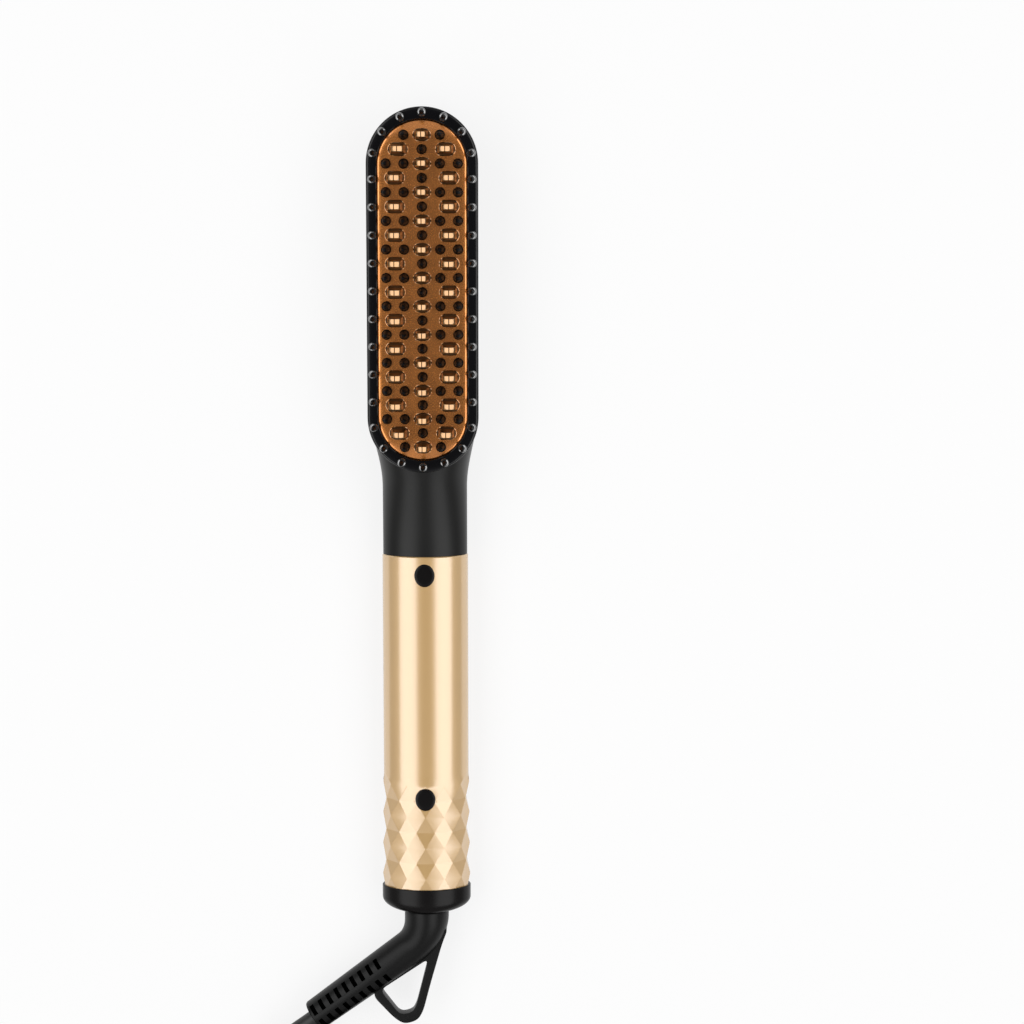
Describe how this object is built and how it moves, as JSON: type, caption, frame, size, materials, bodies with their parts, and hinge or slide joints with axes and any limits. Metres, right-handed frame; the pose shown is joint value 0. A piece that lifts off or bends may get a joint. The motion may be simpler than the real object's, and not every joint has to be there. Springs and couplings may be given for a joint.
{
  "type": "hot comb",
  "caption": "Electric heated hair comb: plate with metal teeth and guard pins, faceted handle with a slide switch, swivelling cord elbow with a hang loop, coiled mains lead and plug.",
  "frame": {"origin": "middle of the comb's base, on the surface that it lies on; the swivelling elbow, the mains lead and the plug are left out of the box", "axes": "+Y towards the tip of the head, +Z the way the teeth point, +X across, to the right seen from above with the tip up"},
  "size_m": [0.099, 0.4593, 0.038],
  "materials": {
    "shell_black": "satin soft-touch moulded plastic",
    "frame_black": "polished heat-resistant plastic",
    "guard_pins": "satin moulded plastic",
    "plate_copper": "copper-coloured anodised aluminium with a turned edge",
    "teeth_metal": "die-cast and coated",
    "pins_black": "heat-proof nylon",
    "gasket_rubber": "silicone rubber",
    "film_amber": "polyimide film",
    "electrode_metal": "rolled strip",
    "heater_ceramic": "sintered PTC ceramic",
    "clamp_metal": "extruded and sawn",
    "screws_steel": "zinc-plated steel",
    "fuse_metal": "drawn can",
    "sensor_green": "epoxy-dipped bead on a clip",
    "shield_mica": "pressed mica sheet",
    "lead_sleeve": "braided glass sleeve",
    "handle_gold": "champagne-gold satin metallic coat",
    "cover_black": "soft plug",
    "board_green": "solder resist on glass-fibre board",
    "capacitor_yellow": "moulded box",
    "chip_black": "moulded epoxy",
    "resistor_blue": "lacquered body",
    "switch_black": "moulded plastic",
    "lever_white": "moulded plastic",
    "carrier_grey": "moulded plastic",
    "knob_black": "polished moulded plastic",
    "led_red": "clear epoxy",
    "lens_dark": "polished dark tinted plastic",
    "cap_black": "satin moulded plastic",
    "contact_metal": "stamped spring strip",
    "lead_brown": "insulated flexible wire",
    "core_white": "turned acetal",
    "elbow_black": "moulded thermoplastic rubber",
    "cord_black": "extruded cable sheath",
    "tie_grey": "moulded strap",
    "pin_nickel": "nickel-plated brass"
  },
  "bodies": {
    "root": {"head_shell": "shell_black", "rim_frame": "frame_black", "rim_pins": "guard_pins", "heating_plate": "plate_copper", "heating_teeth": "teeth_metal", "insulating_pins": "pins_black", "plate_gasket": "gasket_rubber", "heater_films": "film_amber", "heater_electrodes": "electrode_metal", "heater_elements": "heater_ceramic", "heater_clamp": "clamp_metal", "clamp_screws": "screws_steel", "thermal_fuse": "fuse_metal", "thermistor": "sensor_green", "heat_shield": "shield_mica", "heater_leads": "lead_sleeve", "handle_front": "handle_gold", "handle_rear": "handle_gold", "screw_covers": "cover_black", "handle_screws": "screws_steel", "circuit_board": "board_green", "board_screws": "screws_steel", "capacitor": "capacitor_yellow", "power_triac": "chip_black", "control_chip": "chip_black", "dropper_resistor": "resistor_blue", "slide_switch": "switch_black", "indicator_led": "led_red", "led_lens": "lens_dark", "end_cap": "cap_black", "contact_block": "switch_black", "contact_springs": "contact_metal", "power_leads": "lead_brown"},
    "slider": {"slider_knob": "knob_black", "slider_carrier": "carrier_grey", "switch_lever": "lever_white"},
    "swivel": {"swivel_core": "core_white", "slip_rings": "contact_metal", "retaining_ring": "screws_steel", "cord_elbow": "elbow_black", "power_cord": "cord_black", "cord_coil": "cord_black", "cord_tie": "tie_grey", "cord_tail": "cord_black", "plug_relief": "elbow_black", "plug_body": "elbow_black", "plug_pins": "pin_nickel"}
  },
  "joints": [
    {"name": "knob_slide", "type": "slide", "parent": "root", "child": "slider", "axis": [0, 1, 0], "range_m": [0, 0.0058]},
    {"name": "cord_swivel", "type": "hinge", "parent": "root", "child": "swivel", "pos_m": [0, -0.14685, 0.0106], "axis": [0, 1, 0], "continuous": true}
  ]
}
